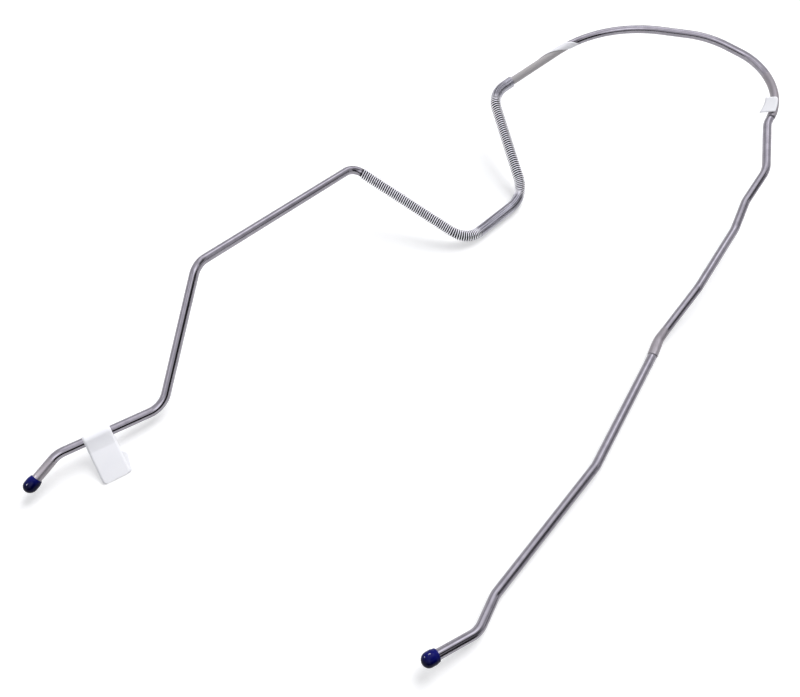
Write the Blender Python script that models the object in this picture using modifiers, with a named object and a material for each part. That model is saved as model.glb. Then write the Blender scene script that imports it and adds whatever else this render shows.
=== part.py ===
"""Formed steel fuel line, lying as it comes to rest.

One long tube, bent at twenty corners, carries a wire-wound stone guard over its middle, a push-on vinyl
cap on each end and three paper labels. Units are metres and +Z is up. The line lies on the plane z = 0,
and the origin is under the middle of its outline.
"""

import math

import bmesh
import bpy
from mathutils import Quaternion, Vector

MM = 0.001
UP = Vector((0.0, 0.0, 1.0))

# Tube
TUBE_OD = 7.94 * MM
TUBE_WALL = 0.9 * MM
TUBE_BEVEL_RESOLUTION = 4
BEND_STEP = math.radians(14)
CHORD_ERROR = 0.2 * MM

# Rolled hose bead close to each end of the tube
BEAD_RISE = 0.8 * MM
BEAD_LENGTH = 2.8 * MM
BEAD_SETBACK = 3.2 * MM

# Push-on end caps
CAP_WALL = 0.6 * MM
CAP_CLEARANCE = 0.3 * MM
CAP_OVERLAP = 7.7 * MM
CAP_HEADROOM = 4.5 * MM
CAP_SIDES = 16
CAP_DOME_STEPS = 4

# Stone guard: one wire wound round the tube, with stretches where the turns have closed up
WIRE_WIDTH = 1.0 * MM
WIRE_HEIGHT = 1.05 * MM
GUARD_CLEARANCE = 0.15 * MM
GUARD_FROM = 434 * MM
GUARD_LENGTH = 334 * MM
OPEN_PITCH = 2.1 * MM
CLOSED_GAP = 0.15 * MM
CLOSED_FROM = 131 * MM
CLOSED_LENGTH = 64 * MM
CLOSED_END_LENGTH = 27 * MM
PITCH_BLEND = 8 * MM
TURN_STEPS = 8

# Labels
LABEL_THICKNESS = 0.25 * MM
LABEL_CLEARANCE = 0.3 * MM
FLAG_AT = 63 * MM
FLAG_WIDTH = 22.5 * MM
FLAG_LEAF = 38 * MM
FLAG_CORNER = 2.5 * MM
FLAG_MEET = 10 * MM
FLAG_LEAF_GAP = 0.1 * MM
FLAG_FOOT = 0.6 * MM
FLAG_SKEW = 4 * MM
WRAP_FROM_GUARD = 56 * MM
WRAP_WIDTH = 17 * MM
WRAP_LEAD = 54 * MM
WRAP_FIRST_ANGLE = 175
WRAP_LAST_ANGLE = -50
TAG_FROM_END = 643.5 * MM
TAG_LENGTH = 21 * MM
TAG_FLAP = 9 * MM
TAG_LAST_ANGLE = 130
TAG_LIFT_ANGLE = 75

TUBE_RADIUS = TUBE_OD / 2
BEAD_RADIUS = TUBE_RADIUS + BEAD_RISE
WIRE_INNER_RADIUS = (TUBE_RADIUS + GUARD_CLEARANCE) / math.cos(math.pi / TURN_STEPS)
GUARD_RADIUS = WIRE_INNER_RADIUS + WIRE_HEIGHT
LABEL_RADIUS = TUBE_RADIUS + LABEL_CLEARANCE + LABEL_THICKNESS / 2

# Heights of the corners that touch the ground, in mm like the rest of the bend chart
GUARD_REST = GUARD_RADIUS / MM
TUBE_REST = TUBE_RADIUS / MM

# Bend chart: corner x, y, z and bend radius in mm, from the left end to the right end
BEND_CHART = (
    (-334.5, -181.5, 11, 0),
    (-316.5, -157.5, 18, 20),
    (-243.5, -110, 8, 22),
    (-212.5, -15.5, 80, 20),
    (-90, 125.5, 50, 14),
    (19, 71, GUARD_REST, 25),
    (80, 129.5, GUARD_REST, 34),
    (50, 234.5, 46, 24),
    (171, 325, 66, 117),
    (275.5, 287, 76, 128),
    (356, 243.5, 58, 55),
    (320.5, 185.5, 50, 26),
    (309, 130.5, 41, 30),
    (286.5, 101, 29, 30),
    (272.5, 73, 21, 30),
    (224, 5, 19, 25),
    (184.5, -40.5, TUBE_REST, 16),
    (175, -59, 4.2, 14),
    (111, -163, 7, 30),
    (24.5, -262.5, TUBE_REST, 25),
    (10.5, -289, 7, 20),
    (-26, -309, 14, 0),
)


class Straight:
    """A straight leg of the centreline."""

    curvature = 0.0

    def __init__(self, start, end):
        self.start = start
        self.length = (end - start).length
        self.direction = (end - start).normalized()

    def at(self, distance):
        return self.start + self.direction * distance, self.direction

    def ring_distances(self):
        return [0.0]


class Bend:
    """A circular bend of the centreline, tangent to the legs on both sides of its corner."""

    def __init__(self, before, corner, after, radius):
        inward = (corner - before).normalized()
        outward = (after - corner).normalized()
        self.angle = inward.angle(outward)
        self.axis = inward.cross(outward).normalized()
        self.radius = radius
        self.curvature = 1.0 / radius
        self.length = radius * self.angle
        self.setback = radius * math.tan(self.angle / 2)
        self.start = corner - inward * self.setback
        self.end = corner + outward * self.setback
        self.direction = inward
        self.arm = -self.axis.cross(inward) * radius
        self.centre = self.start - self.arm

    def at(self, distance):
        turn = Quaternion(self.axis, distance / self.radius)
        return self.centre + turn @ self.arm, turn @ self.direction

    def ring_distances(self):
        step_for_chord = 2 * math.acos(1 - CHORD_ERROR / self.radius)
        count = math.ceil(self.angle / min(BEND_STEP, step_for_chord))
        return [self.length * step / count for step in range(count)]


class Centreline:
    """The tube's centreline: legs and bends in order, addressed by the distance from the left end."""

    def __init__(self, chart):
        corners = [Vector(row[:3]) * MM for row in chart]
        self.pieces = []
        here = corners[0]
        for before, corner, after, row in zip(corners, corners[1:], corners[2:], chart[1:]):
            bend = Bend(before, corner, after, row[3] * MM)
            self.pieces += [Straight(here, bend.start), bend]
            here = bend.end
        self.pieces.append(Straight(here, corners[-1]))
        self.length = sum(piece.length for piece in self.pieces)

    def find(self, distance):
        for piece in self.pieces:
            if distance <= piece.length:
                return piece, distance
            distance -= piece.length
        return self.pieces[-1], self.pieces[-1].length

    def curvature(self, distance):
        return self.find(distance)[0].curvature

    def frame(self, distance):
        """Centre, direction of travel, level side direction and upper direction at a distance."""
        piece, along = self.find(distance)
        centre, direction = piece.at(along)
        side = direction.cross(UP).normalized()
        return centre, direction, side, side.cross(direction)

    def around(self, distance, radius, angle):
        """A point at a radius from the centreline: angle 0 is its level side and 90 degrees its top."""
        centre, _, side, upper = self.frame(distance)
        return centre + radius * (math.cos(angle) * side + math.sin(angle) * upper)

    def ring_distances(self):
        """Where the tube needs a ring of its own: each leg's start and the steps of each bend."""
        distances = []
        start = 0.0
        for piece in self.pieces:
            distances += [start + along for along in piece.ring_distances()]
            start += piece.length
        return distances + [self.length]


def clear_scene():
    for item in list(bpy.data.objects):
        bpy.data.objects.remove(item, do_unlink=True)


def make_material(name, colour, roughness, metallic):
    material = bpy.data.materials.new(name)
    material.use_nodes = True
    shader = material.node_tree.nodes["Principled BSDF"]
    shader.inputs["Base Color"].default_value = (*colour, 1.0)
    shader.inputs["Roughness"].default_value = roughness
    shader.inputs["Metallic"].default_value = metallic
    return material


def add_object(name, data, material, collection, parent):
    item = bpy.data.objects.new(name, data)
    if material.name not in data.materials:
        data.materials.append(material)
    item.parent = parent
    collection.objects.link(item)
    return item


def mesh_from_rows(name, rows, closed):
    """A mesh through rows of points: open rows make a sheet, closed rows a capped bar."""
    shape = bmesh.new()
    grid = [[shape.verts.new(point) for point in row] for row in rows]
    count = len(rows[0])
    for near, far in zip(grid, grid[1:]):
        for i in range(count if closed else count - 1):
            j = (i + 1) % count
            shape.faces.new((near[i], near[j], far[j], far[i]))
    if closed:
        shape.faces.new(grid[0])
        shape.faces.new(grid[-1])
    bmesh.ops.recalc_face_normals(shape, faces=shape.faces)
    mesh = bpy.data.meshes.new(name)
    shape.to_mesh(mesh)
    shape.free()
    return mesh


def add_thickness(item, thickness, offset):
    shell = item.modifiers.new("thickness", "SOLIDIFY")
    shell.thickness = thickness
    shell.offset = offset
    shell.use_even_offset = True


def bead_radius(distance_from_end):
    """Tube radius near an end: a smooth swelling over the bead's length."""
    reach = (distance_from_end - BEAD_SETBACK) / (BEAD_LENGTH / 2)
    if abs(reach) >= 1:
        return TUBE_RADIUS
    return TUBE_RADIUS + BEAD_RISE * (1 + math.cos(math.pi * reach)) / 2


def bead_stations():
    return [BEAD_SETBACK + BEAD_LENGTH * quarter / 4 for quarter in (-2, -1, 0, 1, 2)]


def make_tube(line, collection, parent):
    """The bent tube, a hollow shell that is open at both ends."""
    near_end = bead_stations()
    far_end = [line.length - station for station in bead_stations()]
    stations = sorted(line.ring_distances() + near_end + far_end)
    curve = bpy.data.curves.new("fuel_tube", "CURVE")
    curve.dimensions = "3D"
    curve.twist_mode = "Z_UP"
    curve.bevel_depth = TUBE_RADIUS
    curve.bevel_resolution = TUBE_BEVEL_RESOLUTION
    spline = curve.splines.new("POLY")
    spline.points.add(len(stations) - 1)
    for point, station in zip(spline.points, stations):
        point.co = (*line.frame(station)[0], 1.0)
        point.radius = bead_radius(min(station, line.length - station)) / TUBE_RADIUS
    spline.use_smooth = True
    steel = make_material("tube_steel", (0.36, 0.35, 0.37), 0.28, 1.0)
    tube = add_object("fuel_tube", curve, steel, collection, parent)
    add_thickness(tube, TUBE_WALL, -1)
    return tube


def guard_pitch(line, along_guard):
    """Pitch at a distance along the guard. In a bend, closed turns touch on the inner side alone."""
    closed_pitch = WIRE_WIDTH + CLOSED_GAP
    closed_pitch /= 1 - GUARD_RADIUS * line.curvature(GUARD_FROM + along_guard)
    from_floor_run = max(CLOSED_FROM - along_guard, along_guard - CLOSED_FROM - CLOSED_LENGTH, 0)
    from_closed_end = max(GUARD_LENGTH - CLOSED_END_LENGTH - along_guard, 0)
    opening = min(from_floor_run / PITCH_BLEND, from_closed_end / PITCH_BLEND, 1)
    return closed_pitch + (OPEN_PITCH - closed_pitch) * opening


def wire_section(line, station, angle):
    """The wire's section at one step of a turn: a flat side on the tube and a ridge outside."""
    _, direction, _, _ = line.frame(station)
    half = direction * WIRE_WIDTH / 2
    foot = line.around(station, WIRE_INNER_RADIUS, angle)
    return [foot - half, foot + half, line.around(station, GUARD_RADIUS, angle)]


def make_guard(line, collection, parent):
    """The stone guard: one wire in a right-hand coil that follows every bend of the tube."""
    sections = []
    along = 0.0
    angle = -math.pi / 2
    while along < GUARD_LENGTH:
        sections.append(wire_section(line, GUARD_FROM + along, angle))
        along += guard_pitch(line, along) / TURN_STEPS
        angle -= 2 * math.pi / TURN_STEPS
    mesh = mesh_from_rows("stone_guard", sections, closed=True)
    wire = make_material("guard_wire", (0.42, 0.41, 0.43), 0.35, 1.0)
    return add_object("stone_guard", mesh, wire, collection, parent)


def cap_profile():
    """The cap's section, down the outer side from its crown and up the inner side to the crown again."""
    mouth = TUBE_RADIUS + CAP_CLEARANCE
    belly = BEAD_RADIUS + CAP_CLEARANCE
    dome_centre = CAP_HEADROOM - belly
    neck_height = -BEAD_SETBACK - BEAD_LENGTH
    belly_height = -BEAD_SETBACK - BEAD_LENGTH / 4
    outer = []
    inner = []
    for step in range(CAP_DOME_STEPS + 1):
        angle = math.pi / 2 * step / CAP_DOME_STEPS
        for side, radius in ((outer, belly + CAP_WALL), (inner, belly)):
            reach = 0.0 if step == 0 else radius * math.sin(angle)
            side.append((reach, dome_centre + radius * math.cos(angle)))
    for side, wall in ((outer, CAP_WALL), (inner, 0.0)):
        side.append((belly + wall, belly_height))
        side.append((mouth + wall, neck_height))
        side.append((mouth + wall, -CAP_OVERLAP))
    return outer + inner[::-1]


def make_caps(line, collection, parent):
    """A vinyl cap on each end: turned about the tube's axis, with room ahead of the tube's end."""
    mesh = bpy.data.meshes.new("end_cap")
    points = [(radius, 0.0, height) for radius, height in cap_profile()]
    edges = [(i, i + 1) for i in range(len(points) - 1)]
    mesh.from_pydata(points, edges, [])
    vinyl = make_material("cap_vinyl", (0.012, 0.02, 0.11), 0.22, 0.0)
    first, first_direction, _, _ = line.frame(0.0)
    last, last_direction, _, _ = line.frame(line.length)
    for name, place, outward in (("end_cap_left", first, -first_direction),
                                 ("end_cap_right", last, last_direction)):
        cap = add_object(name, mesh, vinyl, collection, parent)
        cap.location = place
        cap.rotation_euler = outward.to_track_quat("Z", "Y").to_euler()
        turning = cap.modifiers.new("turned", "SCREW")
        turning.axis = "Z"
        turning.angle = 2 * math.pi
        turning.steps = CAP_SIDES
        turning.render_steps = CAP_SIDES
        turning.use_merge_vertices = True
        turning.merge_threshold = 0.00001
        turning.use_smooth_shade = True


def corner_inset(distance_from_edge, corner):
    """How far a rounded corner draws in a sheet's side at a distance from the sheet's end."""
    if distance_from_edge >= corner:
        return 0.0
    return corner - math.sqrt(corner ** 2 - (corner - distance_from_edge) ** 2)


def flag_section():
    """The folded strip's section: distance along the leaf and height over the leaves' middle plane.

    It runs up the front leaf, round the tube and down the back leaf. Each point also has its distance
    to the nearest end of the strip and whether it is on the back leaf.
    """
    half_gap = (FLAG_LEAF_GAP + LABEL_THICKNESS) / 2
    leaf = []
    for turn in (0, 30, 60, 90):
        inset = FLAG_CORNER * (1 - math.cos(math.radians(turn)))
        leaf.append((FLAG_LEAF - inset, half_gap, inset))
    leaf.append((FLAG_MEET, half_gap, FLAG_CORNER))
    meet_distance = math.hypot(FLAG_MEET, half_gap)
    touch_angle = math.atan2(half_gap, FLAG_MEET) + math.acos(LABEL_RADIUS / meet_distance)
    turns = 8
    loop = []
    for i in range(turns + 1):
        angle = touch_angle + (2 * math.pi - 2 * touch_angle) * i / turns
        loop.append((LABEL_RADIUS * math.cos(angle), LABEL_RADIUS * math.sin(angle), FLAG_CORNER))
    front = [(*point, False) for point in leaf + loop[:-1]]
    back = [(*loop[-1], True)] + [(reach, -height, inset, True) for reach, height, inset in leaf[::-1]]
    return front + back


def make_flag_label(line, paper, collection, parent):
    """The large label: a strip folded round the tube, whose joined leaves hang down to the ground."""
    rows = []
    for reach, height, from_end, is_back in flag_section():
        half_width = FLAG_WIDTH / 2 - corner_inset(from_end, FLAG_CORNER)
        skew = FLAG_SKEW * max(reach, 0.0) / FLAG_LEAF if is_back else 0.0
        row = []
        for share in (-1, 0, 1):
            centre, _, side, upper = line.frame(FLAG_AT + skew + share * half_width)
            droop = math.asin((centre.z - FLAG_FOOT) / (FLAG_LEAF * upper.z))
            outward = math.cos(droop) * side - math.sin(droop) * upper
            above = math.sin(droop) * side + math.cos(droop) * upper
            row.append(centre + reach * outward + height * above)
        rows.append(row)
    mesh = mesh_from_rows("flag_label", rows, closed=False)
    label = add_object("flag_label", mesh, paper, collection, parent)
    add_thickness(label, LABEL_THICKNESS, 0)
    return label


def make_wrap_label(line, paper, collection, parent):
    """The small label that is wound slantwise round the tube, ahead of the guard's end."""
    centre_station = GUARD_FROM + GUARD_LENGTH + WRAP_FROM_GUARD + WRAP_WIDTH
    span = WRAP_FIRST_ANGLE - WRAP_LAST_ANGLE
    steps = 12
    rows = []
    for i in range(steps + 1):
        angle = WRAP_FIRST_ANGLE - span * i / steps
        middle = centre_station + WRAP_LEAD * (i / steps - 0.5) * span / 360
        row = [line.around(middle + share * WRAP_WIDTH / 2, LABEL_RADIUS, math.radians(angle))
               for share in (-1, 0, 1)]
        rows.append(row)
    mesh = mesh_from_rows("wrap_label", rows, closed=False)
    label = add_object("wrap_label", mesh, paper, collection, parent)
    add_thickness(label, LABEL_THICKNESS, 0)
    return label


def make_tag_label(line, paper, collection, parent):
    """The label past the arch: stuck over the tube's top, with a flat flap that stands off one side."""
    middle = line.length - TAG_FROM_END
    lift = math.radians(TAG_LIFT_ANGLE)
    last = math.radians(TAG_LAST_ANGLE)
    steps = 4
    rows = []
    for share in (1, 0.5):
        row = []
        for place in (-1, 0, 1):
            station = middle + place * TAG_LENGTH / 2
            _, _, side, upper = line.frame(station)
            flap = TAG_FLAP * share * (math.sin(lift) * side - math.cos(lift) * upper)
            row.append(line.around(station, LABEL_RADIUS, lift) + flap)
        rows.append(row)
    for i in range(steps + 1):
        angle = lift + (last - lift) * i / steps
        rows.append([line.around(middle + place * TAG_LENGTH / 2, LABEL_RADIUS, angle)
                     for place in (-1, 0, 1)])
    mesh = mesh_from_rows("tag_label", rows, closed=False)
    label = add_object("tag_label", mesh, paper, collection, parent)
    add_thickness(label, LABEL_THICKNESS, 0)
    return label


def main():
    clear_scene()
    collection = bpy.data.collections.new("fuel_line")
    bpy.context.scene.collection.children.link(collection)
    origin = bpy.data.objects.new("line_origin", None)
    collection.objects.link(origin)
    line = Centreline(BEND_CHART)
    paper = make_material("label_paper", (0.85, 0.85, 0.88), 0.55, 0.0)
    make_tube(line, collection, origin)
    make_guard(line, collection, origin)
    make_caps(line, collection, origin)
    make_flag_label(line, paper, collection, origin)
    make_wrap_label(line, paper, collection, origin)
    make_tag_label(line, paper, collection, origin)


main()
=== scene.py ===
"""Looks of the formed steel fuel line: fine pieces, finishes, floor, light and camera.

Units are metres and +Z is up. The route of the tube repeats the bend chart of the part's source.
"""

import math

import bmesh
import bpy
from mathutils import Euler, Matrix, Quaternion, Vector, noise


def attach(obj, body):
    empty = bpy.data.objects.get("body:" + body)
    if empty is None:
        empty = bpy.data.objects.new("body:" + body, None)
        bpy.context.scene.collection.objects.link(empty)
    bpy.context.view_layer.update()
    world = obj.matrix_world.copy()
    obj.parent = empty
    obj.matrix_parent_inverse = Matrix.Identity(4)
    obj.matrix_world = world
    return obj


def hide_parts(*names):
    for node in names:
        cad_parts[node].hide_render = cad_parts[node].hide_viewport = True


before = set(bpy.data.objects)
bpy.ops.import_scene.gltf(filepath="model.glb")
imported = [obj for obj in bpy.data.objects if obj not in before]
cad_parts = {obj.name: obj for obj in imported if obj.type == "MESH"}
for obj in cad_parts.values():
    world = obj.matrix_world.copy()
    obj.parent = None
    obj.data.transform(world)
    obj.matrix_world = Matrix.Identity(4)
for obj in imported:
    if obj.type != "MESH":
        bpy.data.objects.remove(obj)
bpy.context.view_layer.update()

MM = 0.001
UP = Vector((0.0, 0.0, 1.0))
BODY = "root"

# Tube, as in the part's source
TUBE_RADIUS = 3.97 * MM
TUBE_WALL = 0.9 * MM
BEAD_RISE = 0.8 * MM
BEAD_LENGTH = 2.8 * MM
BEAD_SETBACK = 3.2 * MM
TUBE_SIDES = 32
BEND_STEP = math.radians(3)
STRAIGHT_STEP = 12 * MM
EDGE_ROUNDING = 0.2 * MM

# Dents: from and to along the tube in mm, middle angle in degrees, depth and widening in mm
DENTS = (
    (1108, 1121.5, 70, 0.9, 0.3),
    (1392, 1423.5, 75, 1.0, 0.55),
)
DENT_RUN_IN = 0.7
DENT_FALL_OFF = 1.5
DENT_EDGE = 1.6 * MM
DENT_STEP = 0.8 * MM

# The matt stretch past the guard, the dull ones and the creases darkened as painted shade: from and to
# along the tube in mm
MATT_LENGTH = 73 * MM
DULL_STRETCHES = ((-5, 26), (1066, 1122), (1394, 1424))
CREASES = ((1121.5, 1124.5), (1423.5, 1425))

# Stone guard
WIRE_RADIUS = 0.53 * MM
GUARD_RADIUS = 5.5 * MM
GUARD_FROM = 434 * MM
GUARD_LENGTH = 334 * MM
FIRST_OPEN_PITCH = 2.08 * MM
SECOND_OPEN_PITCH = 2.28 * MM
CLOSED_PITCH = 1.1 * MM
CLOSED_FROM = 131 * MM
CLOSED_LENGTH = 64 * MM
CLOSED_END_LENGTH = 27 * MM
PITCH_BLEND = 8 * MM
PITCH_WANDER = 0.06
WANDER_LENGTH = 9 * MM
GROOVE_SHADE_DEPTH = 0.62 * MM
CROWN_DEPTH = 0.22 * MM
WIRE_SIDES = 8
TURN_STEPS = 24

# End caps
CAP_WALL = 0.6 * MM
CAP_CLEARANCE = 0.3 * MM
CAP_OVERLAP = 7.7 * MM
CAP_HEADROOM = 4.5 * MM
CAP_NECK_EXTRA = 0.25 * MM
CAP_LIP = 1.1 * MM
CAP_SIDES = 64

# Labels
LABEL_THICKNESS = 0.2 * MM
LABEL_RADIUS = 4.395 * MM
FLAG_AT = 63 * MM
FLAG_WIDTH = 22.5 * MM
FLAG_LEAF = 38 * MM
FLAG_CORNER = 2.5 * MM
FLAG_MEET = 10 * MM
FLAG_LEAF_GAP = 0.1 * MM
FLAG_FOOT = 0.6 * MM
WRAP_FROM_GUARD = 48.4 * MM
WRAP_WIDTH = 21.2 * MM
WRAP_TAPER = 16.4 * MM
WRAP_LEAD = 57.3 * MM
WRAP_FIRST_ANGLE = 175
WRAP_LAST_ANGLE = -25
TAG_FROM_END = 643.5 * MM
TAG_LENGTH = 21 * MM
TAG_FLAP = 9 * MM
TAG_FLARE = 2 * MM
TAG_SKEW = 4 * MM
TAG_CORNER = 3 * MM
TAG_LAST_ANGLE = 108
TAG_LIFT_ANGLE = 75

# Folded label's back leaf: distance along the leaf and how far it is out of line there, in mm
FLAG_SKEW = ((0, 0.3), (18.5, 0.3), (22, 3.8), (35, 1.4), (38, 1.2))

# Colours as linear red, green, blue and alpha
STEEL_CLEAN = (0.285, 0.272, 0.30, 1)
STEEL_STAINED = (0.245, 0.233, 0.26, 1)
STEEL_DRAWN = (0.37, 0.355, 0.385, 1)
STEEL_DULL = (0.32, 0.295, 0.31, 1)
STEEL_MATT = (0.45, 0.43, 0.44, 1)
STEEL_SHADED_UNDER_GUARD = (0.015, 0.014, 0.016, 1)
CREASE_PAINTED_SHADE = (0.03, 0.028, 0.035, 1)
WIRE_BRIGHT = (0.97, 0.965, 1.0, 1)
WIRE_WORN = (0.85, 0.84, 0.88, 1)
WIRE_GROOVE_SHADE_AND_GRIME = (0.05, 0.048, 0.052, 1)
WIRE_CLOSED = (0.54, 0.535, 0.585, 1)
WIRE_CLOSED_PAINTED_REFLECTION = (0.22, 0.215, 0.24, 1)
VINYL_PAINTED_SHADE = (0.0004, 0.0004, 0.024, 1)
VINYL_PAINTED_LIGHT = (0.004, 0.006, 0.14, 1)
PAPER_LIGHT = (0.95, 0.95, 0.99, 1)
PAPER_SHADED = (0.93, 0.93, 0.975, 1)
FLOOR_WHITE = (0.80, 0.80, 0.81, 1)
ROOM_COLOUR = (0.95, 0.94, 1.0, 1)
SKY_COLOUR = (0.97, 0.98, 1.0, 1)

# Floor: its own glow for the camera and in mirrored views, its size and its gap under the line
FLOOR_LIFT = 0.40
FLOOR_SIZE = 3.0
FLOOR_DROP = 0.1 * MM

# Soft lamp and even sky
LAMP_DIRECTION = Vector((0.5, 0.86, 1.0)).normalized()
LAMP_ANGLE = 42
LAMP_STRENGTH = 2.3
SKY_STRENGTH = 0.46

# What the tube mirrors: azimuth from and to, height from and to and soft edge in degrees, depth or gain
DARK_BOXES = (
    (-118, -50, -10, 21, 6, 0.88),
    (-50, -3, -8, 7, 6, 0.85),
    (-64, -29, 2, 38, 6, 0.97),
    (-28, -8, 25, 45, 6, 0.97),
    (-10, 4, 7, 20, 5, 0.8),
    (-28, 14, 48, 67, 6, 0.95),
    (2, 16, 22, 42, 6, 0.5),
)
BRIGHT_BOXES = (
    (52, 82, 36, 62, 12, 1.7),
    (82, 126, 36, 76, 12, 0.75),
    (-104, -56, 47, 68, 8, 1.4),
    (-150, -50, 62, 84, 12, 0.7),
    (-162, -122, 28, 46, 8, 0.6),
    (-30, 110, 72, 84, 8, 0.25),
)

# Small lamps that only glint on the caps: the cap, azimuth and height from it in degrees, share of power
GLINTS = (
    ("cap_left", -169, 54, 0.6),
    ("cap_right", 96, 33, 0.25),
    ("cap_right", 158, 23, 1.0),
)
GLINT_DISTANCE = 40 * MM
GLINT_RADIUS = 3.5 * MM
GLINT_POWER = 0.03

# Camera, as the photograph was taken: place, tilt from straight down and half a pixel's turn
CAMERA_PLACE = Vector((-45, -401, 565)) * MM
CAMERA_TILT = math.radians(32)
HALF_PIXEL_TURN = math.radians(0.038)
CAMERA_LENS = 33.75
CAMERA_SENSOR = 36.0

# Bend chart: corner x, y, z and bend radius in mm, from the left end to the right end
BEND_CHART = (
    (-334.5, -181.5, 11, 0),
    (-316.5, -157.5, 18, 20),
    (-243.5, -110, 8, 22),
    (-212.5, -15.5, 80, 20),
    (-90, 125.5, 50, 14),
    (19, 71, 5.51, 25),
    (80, 129.5, 5.51, 34),
    (50, 234.5, 46, 24),
    (171, 325, 66, 117),
    (275.5, 287, 76, 128),
    (356, 243.5, 58, 55),
    (320.5, 185.5, 50, 26),
    (309, 130.5, 41, 30),
    (286.5, 101, 29, 30),
    (272.5, 73, 21, 30),
    (224, 5, 19, 25),
    (184.5, -40.5, 3.97, 16),
    (175, -59, 4.2, 14),
    (111, -163, 7, 30),
    (24.5, -262.5, 3.97, 25),
    (10.5, -289, 7, 20),
    (-26, -309, 14, 0),
)


class Straight:
    """A straight leg of the centreline."""

    curvature = 0.0

    def __init__(self, start, end):
        self.start = start
        self.length = (end - start).length
        self.direction = (end - start).normalized()

    def at(self, distance):
        return self.start + self.direction * distance, self.direction

    def ring_count(self):
        return math.ceil(self.length / STRAIGHT_STEP)


class Bend:
    """A circular bend of the centreline, tangent to the legs on both sides of its corner."""

    def __init__(self, before, corner, after, radius):
        inward = (corner - before).normalized()
        outward = (after - corner).normalized()
        self.angle = inward.angle(outward)
        self.axis = inward.cross(outward).normalized()
        self.radius = radius
        self.curvature = 1.0 / radius
        self.length = radius * self.angle
        setback = radius * math.tan(self.angle / 2)
        self.start = corner - inward * setback
        self.end = corner + outward * setback
        self.direction = inward
        self.arm = -self.axis.cross(inward) * radius
        self.centre = self.start - self.arm

    def at(self, distance):
        turn = Quaternion(self.axis, distance / self.radius)
        return self.centre + turn @ self.arm, turn @ self.direction

    def ring_count(self):
        return math.ceil(self.angle / BEND_STEP)


class Centreline:
    """The tube's centreline: legs and bends in order, addressed by the distance from the left end."""

    def __init__(self, chart):
        corners = [Vector(row[:3]) * MM for row in chart]
        self.pieces = []
        here = corners[0]
        for before, corner, after, row in zip(corners, corners[1:], corners[2:], chart[1:]):
            bend = Bend(before, corner, after, row[3] * MM)
            self.pieces += [Straight(here, bend.start), bend]
            here = bend.end
        self.pieces.append(Straight(here, corners[-1]))
        self.length = sum(piece.length for piece in self.pieces)

    def find(self, distance):
        for piece in self.pieces:
            if distance <= piece.length:
                return piece, distance
            distance -= piece.length
        return self.pieces[-1], self.pieces[-1].length + distance

    def curvature(self, distance):
        return self.find(distance)[0].curvature

    def frame(self, distance):
        """Centre, direction of travel, level side direction and upper direction at a distance."""
        piece, along = self.find(distance)
        centre, direction = piece.at(along)
        side = direction.cross(UP).normalized()
        return centre, direction, side, side.cross(direction)

    def around(self, distance, radius, angle):
        """A point at a radius from the centreline: angle 0 is its level side and 90 degrees its top."""
        centre, _, side, upper = self.frame(distance)
        return centre + radius * (math.cos(angle) * side + math.sin(angle) * upper)

    def ring_distances(self):
        distances = []
        start = 0.0
        for piece in self.pieces:
            count = piece.ring_count()
            distances += [start + piece.length * step / count for step in range(count)]
            start += piece.length
        return distances


class Graph:
    """Short calls for making a shader's nodes. A value is a number, a tuple or another node's output."""

    def __init__(self, tree):
        self.tree = tree
        self.tree.nodes.clear()

    def node(self, kind, **settings):
        item = self.tree.nodes.new(kind)
        for name, value in settings.items():
            setattr(item, name, value)
        return item

    def feed(self, socket, value):
        if isinstance(value, bpy.types.NodeSocket):
            self.tree.links.new(value, socket)
        else:
            socket.default_value = value

    def math(self, operation, first, second=0.0):
        item = self.node("ShaderNodeMath", operation=operation)
        self.feed(item.inputs[0], first)
        self.feed(item.inputs[1], second)
        return item.outputs[0]

    def ramp(self, value, start, end, low=0.0, high=1.0):
        """Low up to start, high from end on, and a smooth passage between them."""
        item = self.node("ShaderNodeMapRange", interpolation_type="SMOOTHSTEP")
        self.feed(item.inputs["Value"], value)
        for name, number in (("From Min", start), ("From Max", end), ("To Min", low), ("To Max", high)):
            self.feed(item.inputs[name], number)
        return item.outputs["Result"]

    def band(self, value, start, end, edge):
        """1 between start and end, 0 outside, with smooth edges."""
        rise = self.ramp(value, start - edge / 2, start + edge / 2)
        fall = self.ramp(value, end - edge / 2, end + edge / 2, 1.0, 0.0)
        return self.math("MULTIPLY", rise, fall)

    def mix(self, factor, first, second):
        item = self.node("ShaderNodeMix", data_type="RGBA")
        self.feed(item.inputs[0], factor)
        self.feed(item.inputs[6], first)
        self.feed(item.inputs[7], second)
        return item.outputs[2]

    def stretched(self, vector, scale):
        item = self.node("ShaderNodeMapping")
        self.feed(item.inputs["Vector"], vector)
        item.inputs["Scale"].default_value = scale
        return item.outputs["Vector"]

    def noise(self, vector, scale, detail=3.0, roughness=0.5):
        item = self.node("ShaderNodeTexNoise")
        self.feed(item.inputs["Vector"], vector)
        item.inputs["Scale"].default_value = scale
        item.inputs["Detail"].default_value = detail
        item.inputs["Roughness"].default_value = roughness
        return item.outputs["Fac"]

    def bump(self, height, distance):
        item = self.node("ShaderNodeBump")
        self.feed(item.inputs["Height"], height)
        item.inputs["Distance"].default_value = distance
        item.inputs["Strength"].default_value = 1.0
        return item.outputs["Normal"]


def new_material(name):
    """A material with one Principled shader, and the graph to add nodes to."""
    material = bpy.data.materials.new(name)
    material.use_nodes = True
    graph = Graph(material.node_tree)
    shader = graph.node("ShaderNodeBsdfPrincipled")
    output = graph.node("ShaderNodeOutputMaterial")
    graph.tree.links.new(shader.outputs[0], output.inputs["Surface"])
    return material, graph, shader


def along_tube(graph):
    """The attribute that gives a point's place across the tube (x, y) and along it (z), in metres."""
    item = graph.node("ShaderNodeAttribute", attribute_name="along_tube")
    place = graph.node("ShaderNodeSeparateXYZ")
    graph.tree.links.new(item.outputs["Vector"], place.inputs[0])
    return item.outputs["Vector"], place.outputs["Z"]


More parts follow.
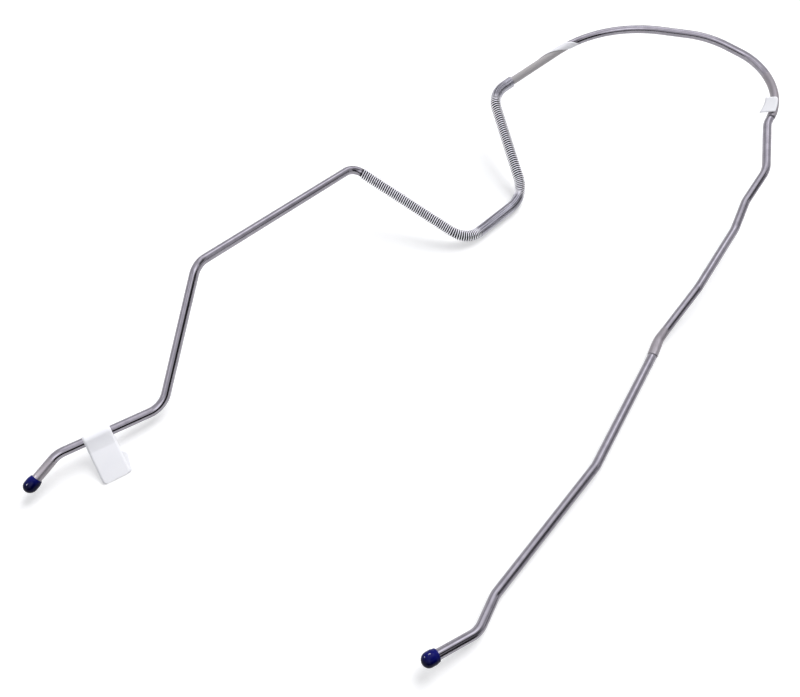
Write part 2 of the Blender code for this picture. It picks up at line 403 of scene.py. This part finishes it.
def steel_material():
    """Drawn steel: dull silver with faint lengthwise marks, near black under the guard as painted shade
    with some grime, matt past its end.
    """
    material, graph, shader = new_material("tube_steel_finish")
    vector, along = along_tube(graph)
    mottle = graph.noise(vector, 160, 4)
    drawn = graph.noise(graph.stretched(vector, (1.0, 1.0, 0.03)), 1400, 3, 0.6)
    guard_end = GUARD_FROM + GUARD_LENGTH
    covered = graph.band(along, GUARD_FROM - 1 * MM, guard_end - 1 * MM, 3 * MM)
    matt = graph.band(along, guard_end, guard_end + MATT_LENGTH, 6 * MM)
    dull = 0.0
    for start, end in DULL_STRETCHES:
        dull = graph.math("ADD", dull, graph.band(along, start * MM, end * MM, 5 * MM))
    crease = 0.0
    for start, end in CREASES:
        crease = graph.math("ADD", crease, graph.band(along, start * MM, end * MM, 1.2 * MM))
    colour = graph.mix(graph.ramp(mottle, 0.35, 0.7), STEEL_CLEAN, STEEL_STAINED)
    colour = graph.mix(graph.ramp(drawn, 0.45, 0.8, 0, 0.35), colour, STEEL_DRAWN)
    colour = graph.mix(graph.math("MULTIPLY", dull, 0.7), colour, STEEL_DULL)
    # Painted shade: the creases are darkened in the colour, standing in for the shade that falls in them.
    colour = graph.mix(graph.math("MULTIPLY", crease, 0.75), colour, CREASE_PAINTED_SHADE)
    colour = graph.mix(matt, colour, STEEL_MATT)
    # Painted shade, partly grime: the tube is near black where the guard covers it, standing in for the
    # shade between the turns.
    colour = graph.mix(covered, colour, STEEL_SHADED_UNDER_GUARD)
    roughness = graph.ramp(mottle, 0.3, 0.75, 0.10, 0.18)
    roughness = graph.math("ADD", roughness, graph.math("MULTIPLY", matt, 0.45))
    roughness = graph.math("ADD", roughness, graph.math("MULTIPLY", dull, 0.24))
    graph.feed(shader.inputs["Base Color"], colour)
    graph.feed(shader.inputs["Roughness"], roughness)
    metallic = graph.ramp(matt, 0.0, 1.0, 1.0, 0.0)
    metallic = graph.math("SUBTRACT", metallic, graph.math("MULTIPLY", dull, 0.35))
    graph.feed(shader.inputs["Metallic"], metallic)
    height = graph.math("ADD", graph.math("MULTIPLY", mottle, 0.5), drawn)
    graph.feed(shader.inputs["Normal"], graph.bump(height, 0.01 * MM))
    return material


def wire_material():
    """Spring wire: bright on its crown, dark between open turns as painted shade with some grime, and with
    painted dark reflection streaks where the turns close.
    """
    material, graph, shader = new_material("guard_wire_finish")
    vector, along = along_tube(graph)
    grime = graph.noise(vector, 220, 4, 0.6)
    across = graph.node("ShaderNodeVectorMath", operation="LENGTH")
    graph.feed(across.inputs[0], graph.stretched(vector, (1.0, 1.0, 0.0)))
    crown = graph.ramp(across.outputs["Value"], GUARD_RADIUS - GROOVE_SHADE_DEPTH, GUARD_RADIUS - CROWN_DEPTH)
    closed_start = GUARD_FROM + CLOSED_FROM
    guard_end = GUARD_FROM + GUARD_LENGTH
    closed = graph.band(along, closed_start, closed_start + CLOSED_LENGTH, PITCH_BLEND)
    closed_end = graph.band(along, guard_end - CLOSED_END_LENGTH, guard_end + PITCH_BLEND, PITCH_BLEND)
    closed = graph.math("MAXIMUM", closed, closed_end)
    colour = graph.mix(graph.ramp(grime, 0.45, 0.75), WIRE_BRIGHT, WIRE_WORN)
    # Painted shade with some grime: the wire turns near black towards the tube, in the grooves between the
    # turns.
    colour = graph.mix(crown, WIRE_GROOVE_SHADE_AND_GRIME, colour)
    # Painted reflection: dark lengthwise streaks on the closed turns stand in for a dark line that they
    # mirror.
    streaks = graph.noise(graph.stretched(vector, (1.0, 1.0, 0.02)), 900, 3, 0.6)
    streaked = graph.mix(graph.ramp(streaks, 0.46, 0.60), WIRE_CLOSED, WIRE_CLOSED_PAINTED_REFLECTION)
    colour = graph.mix(closed, colour, streaked)
    graph.feed(shader.inputs["Base Color"], colour)
    roughness = graph.ramp(grime, 0.3, 0.8, 0.30, 0.42)
    roughness = graph.math("SUBTRACT", roughness, graph.math("MULTIPLY", closed, 0.16))
    graph.feed(shader.inputs["Roughness"], roughness)
    shader.inputs["Metallic"].default_value = 1.0
    graph.feed(shader.inputs["Normal"], graph.bump(graph.noise(vector, 3000, 2), 0.006 * MM))
    return material


def vinyl_material():
    """Dip-moulded vinyl: deep navy and glossy, with painted light on top and behind and painted shade in
    front and below.
    """
    material, graph, shader = new_material("cap_vinyl_finish")
    place = graph.node("ShaderNodeNewGeometry").outputs["Position"]
    cloud = graph.noise(place, 260, 3)
    level = graph.node("ShaderNodeSeparateXYZ")
    graph.feed(level.inputs[0], graph.node("ShaderNodeTexCoord").outputs["Generated"])
    # Painted light and shade: the colour is paler blue on top and behind and darker in front and below, as
    # light falls from above and behind.
    top = graph.math("MULTIPLY", level.outputs["Z"], 0.6)
    top = graph.math("ADD", top, graph.math("MULTIPLY", level.outputs["Y"], 0.5))
    top = graph.ramp(graph.math("ADD", top, graph.math("MULTIPLY", cloud, 0.2)), 0.62, 1.12)
    graph.feed(shader.inputs["Base Color"], graph.mix(top, VINYL_PAINTED_SHADE, VINYL_PAINTED_LIGHT))
    graph.feed(shader.inputs["Roughness"], graph.ramp(cloud, 0.3, 0.75, 0.06, 0.12))
    shader.inputs["Specular IOR Level"].default_value = 0.08
    graph.feed(shader.inputs["Normal"], graph.bump(cloud, 0.03 * MM))
    return material


def paper_material():
    """Coated label paper: cool white with faint fibres."""
    material, graph, shader = new_material("label_paper_finish")
    place = graph.node("ShaderNodeNewGeometry").outputs["Position"]
    fibres = graph.noise(place, 1800, 4, 0.7)
    cloud = graph.noise(place, 90, 2)
    colour = graph.mix(graph.ramp(cloud, 0.35, 0.7), PAPER_LIGHT, PAPER_SHADED)
    graph.feed(shader.inputs["Base Color"], colour)
    graph.feed(shader.inputs["Roughness"], graph.ramp(fibres, 0.3, 0.7, 0.42, 0.6))
    graph.feed(shader.inputs["Normal"], graph.bump(fibres, 0.01 * MM))
    return material


def floor_material():
    """White sheet: clear of the part it shows as plain white, and close to it as a pale shadow."""
    material = bpy.data.materials.new("floor_white")
    material.use_nodes = True
    graph = Graph(material.node_tree)
    paper = graph.node("ShaderNodeBsdfDiffuse")
    paper.inputs["Color"].default_value = FLOOR_WHITE
    glow = graph.node("ShaderNodeEmission")
    path = graph.node("ShaderNodeLightPath")
    seen = graph.math("MAXIMUM", path.outputs["Is Camera Ray"], path.outputs["Is Glossy Ray"])
    graph.feed(glow.inputs["Strength"], graph.math("MULTIPLY", seen, FLOOR_LIFT))
    both = graph.node("ShaderNodeAddShader")
    graph.tree.links.new(paper.outputs[0], both.inputs[0])
    graph.tree.links.new(glow.outputs[0], both.inputs[1])
    output = graph.node("ShaderNodeOutputMaterial")
    graph.tree.links.new(both.outputs[0], output.inputs["Surface"])
    return material


def mesh_from_rows(name, rows, closed_rows, capped=False, looped=False):
    """A mesh through rows of points, with the rows joined end to end when looped."""
    shape = bmesh.new()
    grid = [[shape.verts.new(point) for point in row] for row in rows]
    count = len(rows[0])
    pairs = list(zip(grid, grid[1:]))
    if looped:
        pairs.append((grid[-1], grid[0]))
    for near, far in pairs:
        for i in range(count if closed_rows else count - 1):
            j = (i + 1) % count
            shape.faces.new((near[i], near[j], far[j], far[i]))
    if capped:
        shape.faces.new(grid[0])
        shape.faces.new(grid[-1])
    bmesh.ops.recalc_face_normals(shape, faces=shape.faces)
    for face in shape.faces:
        face.smooth = True
    mesh = bpy.data.meshes.new(name)
    shape.to_mesh(mesh)
    shape.free()
    return mesh


def add_piece(name, mesh, material, replaced):
    """A visible piece on the line's one body, in place of the named solid."""
    piece = bpy.data.objects.new(name, mesh)
    bpy.context.scene.collection.objects.link(piece)
    mesh.materials.append(material)
    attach(piece, BODY)
    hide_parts(replaced)
    return piece


def store_places(mesh, places):
    """Keep each point's place across and along the tube, for the materials."""
    attribute = mesh.attributes.new("along_tube", "FLOAT_VECTOR", "POINT")
    attribute.data.foreach_set("vector", [number for place in places for number in place])


def eased(share):
    """A share from 0 to 1 with a soft start and a soft end."""
    return share * share * (3 - 2 * share)


def bead_radius(distance_from_end):
    """Tube radius near an end: a smooth swelling over the bead's length."""
    reach = (distance_from_end - BEAD_SETBACK) / (BEAD_LENGTH / 2)
    if abs(reach) >= 1:
        return TUBE_RADIUS
    return TUBE_RADIUS + BEAD_RISE * (1 + math.cos(math.pi * reach)) / 2


def dented(distance, angle, radius):
    """Radius of the skin in a dent: pressed in about its middle angle, a little wider to both sides.

    A dent starts gently and ends sharply, within its edge's length past its end.
    """
    for start, end, middle, depth, widening in DENTS:
        if not start * MM < distance < end * MM + DENT_EDGE:
            continue
        reach = (distance - start * MM) / (end * MM - start * MM)
        share = eased(min(reach / DENT_RUN_IN, 1.0, (end * MM + DENT_EDGE - distance) / DENT_EDGE))
        off = angle - math.radians(middle)
        pressed = depth * max(math.cos(off), 0.0) ** DENT_FALL_OFF
        radius += share * MM * (widening * math.sin(off) ** 2 - pressed)
    return radius


def make_tube(line, material):
    """The tube: an outer skin with small lips, and the bore back from the far end to the near one."""
    bead_steps = 24
    bead = [EDGE_ROUNDING + (BEAD_SETBACK + BEAD_LENGTH) * step / bead_steps
            for step in range(bead_steps + 1)]
    fine = [start * MM + DENT_STEP * step for start, end, _, _, _ in DENTS
            for step in range(math.ceil(((end - start) * MM + DENT_EDGE) / DENT_STEP) + 1)]
    coarse = [d for d in line.ring_distances() if not any(abs(d - near) < DENT_STEP for near in fine)]
    middle = sorted(d for d in coarse + fine if bead[-1] < d < line.length - bead[-1])
    stations = bead + middle + [line.length - d for d in bead[::-1]]
    outer = [(d, bead_radius(min(d, line.length - d))) for d in stations]
    inner = [(d, radius - TUBE_WALL) for d, radius in outer]
    lip = TUBE_WALL / 3
    near_lip = [(0.0, TUBE_RADIUS - 2 * lip), (0.0, TUBE_RADIUS - lip)]
    far_lip = [(line.length, TUBE_RADIUS - lip), (line.length, TUBE_RADIUS - 2 * lip)]
    rows = []
    places = []
    for distance, radius in near_lip + outer + far_lip + inner[::-1]:
        row = []
        for i in range(TUBE_SIDES):
            angle = 2 * math.pi * i / TUBE_SIDES
            skin = dented(distance, angle, radius)
            row.append(line.around(distance, skin, angle))
            places.append((skin * math.cos(angle), skin * math.sin(angle), distance))
        rows.append(row)
    mesh = mesh_from_rows("tube", rows, closed_rows=True, looped=True)
    store_places(mesh, places)
    return add_piece("tube", mesh, material, "fuel_tube")


def guard_pitch(line, along_guard):
    """Pitch at a distance along the guard. In a bend, closed turns touch on the inner side alone."""
    closed_pitch = CLOSED_PITCH / (1 - GUARD_RADIUS * line.curvature(GUARD_FROM + along_guard))
    from_floor_run = max(CLOSED_FROM - along_guard, along_guard - CLOSED_FROM - CLOSED_LENGTH, 0)
    from_closed_end = max(GUARD_LENGTH - CLOSED_END_LENGTH - along_guard, 0)
    opening = min(from_floor_run / PITCH_BLEND, from_closed_end / PITCH_BLEND, 1)
    wander = 1 + PITCH_WANDER * noise.noise(Vector((along_guard / WANDER_LENGTH, 0.0, 0.0)))
    on_first_leg = along_guard < CLOSED_FROM + CLOSED_LENGTH / 2
    open_pitch = FIRST_OPEN_PITCH if on_first_leg else SECOND_OPEN_PITCH
    return closed_pitch + (open_pitch * wander - closed_pitch) * opening


def make_guard(line, material):
    """The stone guard: one round wire in a right-hand coil that follows every bend of the tube."""
    coil_radius = GUARD_RADIUS - WIRE_RADIUS
    rows = []
    places = []
    along = WIRE_RADIUS
    angle = -math.pi / 2
    while along < GUARD_LENGTH - WIRE_RADIUS:
        centre, direction, side, upper = line.frame(GUARD_FROM + along)
        radial = math.cos(angle) * side + math.sin(angle) * upper
        row = []
        for i in range(WIRE_SIDES):
            turn = 2 * math.pi * i / WIRE_SIDES
            reach = coil_radius + WIRE_RADIUS * math.cos(turn)
            shift = WIRE_RADIUS * math.sin(turn)
            row.append(centre + reach * radial + shift * direction)
            places.append((reach * math.cos(angle), reach * math.sin(angle), GUARD_FROM + along + shift))
        rows.append(row)
        along += guard_pitch(line, along) / TURN_STEPS
        angle -= 2 * math.pi / TURN_STEPS
    mesh = mesh_from_rows("guard", rows, closed_rows=True, capped=True)
    store_places(mesh, places)
    return add_piece("guard", mesh, material, "stone_guard")


def cap_profile():
    """The cap's section as radius and height: outer side from crown to mouth, then the inner side back."""
    mouth = TUBE_RADIUS + CAP_CLEARANCE
    belly = TUBE_RADIUS + BEAD_RISE + CAP_CLEARANCE
    dome_centre = CAP_HEADROOM - belly
    neck_height = -BEAD_SETBACK - BEAD_LENGTH
    belly_height = -BEAD_SETBACK - BEAD_LENGTH / 4
    dome_steps = 14
    taper_steps = 8
    lip_steps = 6
    outer = []
    inner = []
    for side, wall, taper_end in ((outer, CAP_WALL, CAP_LIP - CAP_OVERLAP), (inner, 0.0, neck_height)):
        for step in range(1, dome_steps + 1):
            angle = math.pi / 2 * step / dome_steps
            radius = belly + wall
            side.append((radius * math.sin(angle), dome_centre + radius * math.cos(angle)))
        for step in range(taper_steps + 1):
            share = step / taper_steps
            narrowing = (belly - mouth) * eased(share)
            extra = CAP_NECK_EXTRA * eased(share) if wall else 0.0
            height = belly_height + (taper_end - belly_height) * share
            side.append((belly + wall - narrowing + extra, height))
        if wall:
            for step in range(1, lip_steps + 1):
                turn = math.pi / 2 * step / lip_steps
                side.append((mouth + wall + CAP_NECK_EXTRA - CAP_LIP * (1 - math.cos(turn)),
                             -CAP_OVERLAP + CAP_LIP * (1 - math.sin(turn))))
        else:
            side.append((mouth, -CAP_OVERLAP + CAP_WALL / 4))
            side.append((mouth + CAP_WALL / 8, -CAP_OVERLAP))
    return outer + inner[::-1]


def make_cap(name, replaced, place, outward, material):
    """A vinyl cap turned about the tube's axis, with room ahead of the tube's end."""
    turn = outward.to_track_quat("Z", "Y")
    profile = cap_profile()
    rows = []
    for radius, height in profile:
        rows.append([place + turn @ Vector((radius * math.cos(a), radius * math.sin(a), height))
                     for a in (2 * math.pi * i / CAP_SIDES for i in range(CAP_SIDES))])
    mesh = mesh_from_rows(name, rows, closed_rows=True, capped=True)
    return add_piece(name, mesh, material, replaced)


def corner_inset(distance_from_edge, corner):
    """How far a rounded corner draws in a sheet's side at a distance from the sheet's end."""
    if distance_from_edge >= corner:
        return 0.0
    return corner - math.sqrt(corner ** 2 - (corner - distance_from_edge) ** 2)


def flag_section():
    """The folded strip's section, from the front leaf's end round the tube to the back leaf's end.

    Each point has its distance along the leaf, its height over the leaves' middle plane, its distance
    to the nearest end of the strip and whether it is on the back leaf.
    """
    half_gap = (FLAG_LEAF_GAP + LABEL_THICKNESS) / 2
    leaf = []
    for turn in range(0, 91, 10):
        inset = FLAG_CORNER * (1 - math.cos(math.radians(turn)))
        leaf.append((FLAG_LEAF - inset, half_gap, inset))
    steps = 20
    for step in range(1, steps + 1):
        reach = FLAG_LEAF - FLAG_CORNER + (FLAG_MEET - FLAG_LEAF + FLAG_CORNER) * step / steps
        leaf.append((reach, half_gap, FLAG_CORNER))
    meet_distance = math.hypot(FLAG_MEET, half_gap)
    touch_angle = math.atan2(half_gap, FLAG_MEET) + math.acos(LABEL_RADIUS / meet_distance)
    turns = 24
    loop = []
    for i in range(turns + 1):
        angle = touch_angle + (2 * math.pi - 2 * touch_angle) * i / turns
        loop.append((LABEL_RADIUS * math.cos(angle), LABEL_RADIUS * math.sin(angle), FLAG_CORNER))
    front = [(*point, False) for point in leaf + loop[:-1]]
    back = [(*loop[-1], True)] + [(reach, -height, inset, True) for reach, height, inset in leaf[::-1]]
    return front + back


def add_thickness(piece):
    """Give a sheet its thickness, half to each side."""
    shell = piece.modifiers.new("thickness", "SOLIDIFY")
    shell.thickness = LABEL_THICKNESS
    shell.offset = 0
    shell.use_even_offset = True


def flag_skew(reach):
    """How far the back leaf is out of line with the front one, at a distance along the leaf."""
    for (near, near_skew), (far, far_skew) in zip(FLAG_SKEW, FLAG_SKEW[1:]):
        if reach <= far * MM:
            share = max(reach / MM - near, 0.0) / (far - near)
            return (near_skew + (far_skew - near_skew) * share) * MM
    return FLAG_SKEW[-1][1] * MM


def make_flag_label(line, material):
    """The large label: a strip folded round the tube, whose joined leaves hang down to the ground."""
    columns = 12
    rows = []
    for reach, height, from_end, is_back in flag_section():
        half_width = FLAG_WIDTH / 2 - corner_inset(from_end, FLAG_CORNER)
        skew = flag_skew(reach) if is_back else 0.0
        row = []
        for column in range(columns + 1):
            share = 2 * column / columns - 1
            centre, _, side, upper = line.frame(FLAG_AT + skew + share * half_width)
            droop = math.asin((centre.z - FLAG_FOOT) / (FLAG_LEAF * upper.z))
            outward = math.cos(droop) * side - math.sin(droop) * upper
            above = math.sin(droop) * side + math.cos(droop) * upper
            row.append(centre + reach * outward + height * above)
        rows.append(row)
    mesh = mesh_from_rows("label_flag", rows, closed_rows=False)
    piece = add_piece("label_flag", mesh, material, "flag_label")
    add_thickness(piece)
    return piece


def make_wrap_label(line, material):
    """The small label that is wound slantwise round the tube, past the guard's end."""
    centre_station = GUARD_FROM + GUARD_LENGTH + WRAP_FROM_GUARD + WRAP_WIDTH
    span = WRAP_FIRST_ANGLE - WRAP_LAST_ANGLE
    steps = 40
    columns = 8
    rows = []
    for i in range(steps + 1):
        angle = math.radians(WRAP_FIRST_ANGLE - span * i / steps)
        middle = centre_station + WRAP_LEAD * (i / steps - 0.5) * span / 360
        width = WRAP_WIDTH - WRAP_TAPER * (i / steps - 0.5)
        rows.append([line.around(middle + (column / columns - 0.5) * width, LABEL_RADIUS, angle)
                     for column in range(columns + 1)])
    mesh = mesh_from_rows("label_wrap", rows, closed_rows=False)
    piece = add_piece("label_wrap", mesh, material, "wrap_label")
    add_thickness(piece)
    return piece


def make_tag_label(line, material):
    """The label past the arch: stuck over the tube's top, with a flat flap that stands off one side."""
    middle = line.length - TAG_FROM_END
    lift = math.radians(TAG_LIFT_ANGLE)
    last = math.radians(TAG_LAST_ANGLE)
    flap_steps = 6
    steps = 12
    columns = 10
    rows = []
    for i in range(flap_steps):
        share = 1 - i / flap_steps
        row = []
        for column in range(columns + 1):
            station = middle + (column / columns - 0.5) * TAG_LENGTH
            _, _, side, upper = line.frame(station)
            flap = (TAG_FLAP + TAG_FLARE * column / columns) * share
            slide = TAG_SKEW * share * column / columns
            place = line.around(station + slide, LABEL_RADIUS, lift)
            row.append(place + flap * (math.sin(lift) * side - math.cos(lift) * upper))
        rows.append(row)
    for i in range(steps + 1):
        angle = lift + (last - lift) * i / steps
        inset = corner_inset(LABEL_RADIUS * (last - angle), TAG_CORNER)
        start = middle - TAG_LENGTH / 2 + inset
        length = TAG_LENGTH - 2 * inset
        rows.append([line.around(start + length * column / columns, LABEL_RADIUS, angle)
                     for column in range(columns + 1)])
    mesh = mesh_from_rows("label_tag", rows, closed_rows=False)
    piece = add_piece("label_tag", mesh, material, "tag_label")
    add_thickness(piece)
    return piece


def make_floor():
    """The sheet that the line lies on."""
    half = FLOOR_SIZE / 2
    corners = [(-half, -half), (half, -half), (half, half), (-half, half)]
    mesh = bpy.data.meshes.new("floor")
    mesh.from_pydata([(x, y, -FLOOR_DROP) for x, y in corners], [], [(0, 1, 2, 3)])
    mesh.materials.append(floor_material())
    floor = bpy.data.objects.new("floor", mesh)
    bpy.context.scene.collection.objects.link(floor)


def room_box(graph, azimuth, height, left, right, low, high, edge):
    """1 inside a box of directions, 0 outside, with soft edges."""
    across = graph.band(azimuth, left, right, edge)
    return graph.math("MULTIPLY", across, graph.band(height, low, high, edge))


def make_world():
    """White for the camera, an even sky for matt surfaces, and a simple room for mirror reflections."""
    world = bpy.data.worlds.new("studio")
    bpy.context.scene.world = world
    world.use_nodes = True
    graph = Graph(world.node_tree)
    direction = graph.node("ShaderNodeTexCoord").outputs["Generated"]
    parts = graph.node("ShaderNodeSeparateXYZ")
    graph.feed(parts.inputs[0], direction)
    azimuth = graph.math("ARCTAN2", parts.outputs["Y"], parts.outputs["X"])
    height = graph.math("ARCSINE", parts.outputs["Z"])
    azimuth = graph.math("MULTIPLY", azimuth, 180 / math.pi)
    height = graph.math("MULTIPLY", height, 180 / math.pi)
    level = graph.ramp(height, 30, 90, 0.95, 1.3)
    for *sides, gain in BRIGHT_BOXES:
        box = room_box(graph, azimuth, height, *sides)
        level = graph.math("ADD", level, graph.math("MULTIPLY", box, gain))
    for *sides, depth in DARK_BOXES:
        box = room_box(graph, azimuth, height, *sides)
        shade = graph.math("SUBTRACT", 1.0, graph.math("MULTIPLY", box, depth))
        level = graph.math("MULTIPLY", level, shade)
    path = graph.node("ShaderNodeLightPath")
    room = graph.node("ShaderNodeBackground")
    room.inputs["Color"].default_value = ROOM_COLOUR
    graph.feed(room.inputs["Strength"], level)
    sky = graph.node("ShaderNodeBackground")
    sky.inputs["Color"].default_value = SKY_COLOUR
    sky.inputs["Strength"].default_value = SKY_STRENGTH
    backdrop = graph.node("ShaderNodeBackground")
    backdrop.inputs["Color"].default_value = (1, 1, 1, 1)
    mirrored = graph.node("ShaderNodeMixShader")
    graph.feed(mirrored.inputs[0], path.outputs["Is Glossy Ray"])
    graph.tree.links.new(sky.outputs[0], mirrored.inputs[1])
    graph.tree.links.new(room.outputs[0], mirrored.inputs[2])
    seen = graph.node("ShaderNodeMixShader")
    graph.feed(seen.inputs[0], path.outputs["Is Camera Ray"])
    graph.tree.links.new(mirrored.outputs[0], seen.inputs[1])
    graph.tree.links.new(backdrop.outputs[0], seen.inputs[2])
    output = graph.node("ShaderNodeOutputWorld")
    graph.tree.links.new(seen.outputs[0], output.inputs["Surface"])


def make_lamp():
    """A wide soft lamp from behind on the right, which the steel doesn't mirror."""
    lamp = bpy.data.lights.new("soft_lamp", "SUN")
    lamp.energy = LAMP_STRENGTH
    lamp.angle = math.radians(LAMP_ANGLE)
    item = bpy.data.objects.new("soft_lamp", lamp)
    item.rotation_euler = LAMP_DIRECTION.to_track_quat("Z", "Y").to_euler()
    item.visible_glossy = False
    bpy.context.scene.collection.objects.link(item)


def make_glints(places):
    """Window glints on the glossy vinyl. They light nothing but reflections, and only close by."""
    for name, azimuth, height, share in GLINTS:
        turn = Euler((0, -math.radians(height), math.radians(azimuth))).to_matrix()
        direction = turn @ Vector((1, 0, 0))
        lamp = bpy.data.lights.new("glint", "AREA")
        lamp.shape = "DISK"
        lamp.size = 2 * GLINT_RADIUS
        lamp.energy = GLINT_POWER * share
        item = bpy.data.objects.new("glint", lamp)
        item.location = places[name] + direction * GLINT_DISTANCE
        item.rotation_euler = direction.to_track_quat("Z", "Y").to_euler()
        item.visible_diffuse = False
        item.visible_camera = False
        bpy.context.scene.collection.objects.link(item)


def make_camera():
    """The camera that the photograph was taken with, looking down along +Y."""
    data = bpy.data.cameras.new("photo_camera")
    data.lens = CAMERA_LENS
    data.sensor_width = CAMERA_SENSOR
    data.sensor_fit = "HORIZONTAL"
    data.clip_start = 0.01
    camera = bpy.data.objects.new("photo_camera", data)
    camera.location = CAMERA_PLACE
    tilt = Euler((CAMERA_TILT + HALF_PIXEL_TURN, 0, 0)).to_matrix()
    pan = Euler((0, HALF_PIXEL_TURN, 0)).to_matrix()
    camera.rotation_euler = (tilt @ pan).to_euler()
    bpy.context.scene.collection.objects.link(camera)
    bpy.context.scene.camera = camera


line = Centreline(BEND_CHART)
make_camera()
steel = steel_material()
wire = wire_material()
vinyl = vinyl_material()
paper = paper_material()
make_tube(line, steel)
make_guard(line, wire)
near_place, near_direction, _, _ = line.frame(0.0)
far_place, far_direction, _, _ = line.frame(line.length)
make_cap("cap_left", "end_cap_left", near_place, -near_direction, vinyl)
make_cap("cap_right", "end_cap_right", far_place, far_direction, vinyl)
make_flag_label(line, paper)
make_wrap_label(line, paper)
make_tag_label(line, paper)
make_floor()
make_world()
make_lamp()
make_glints({"cap_left": near_place, "cap_right": far_place})
bpy.context.scene.view_settings.view_transform = "Standard"
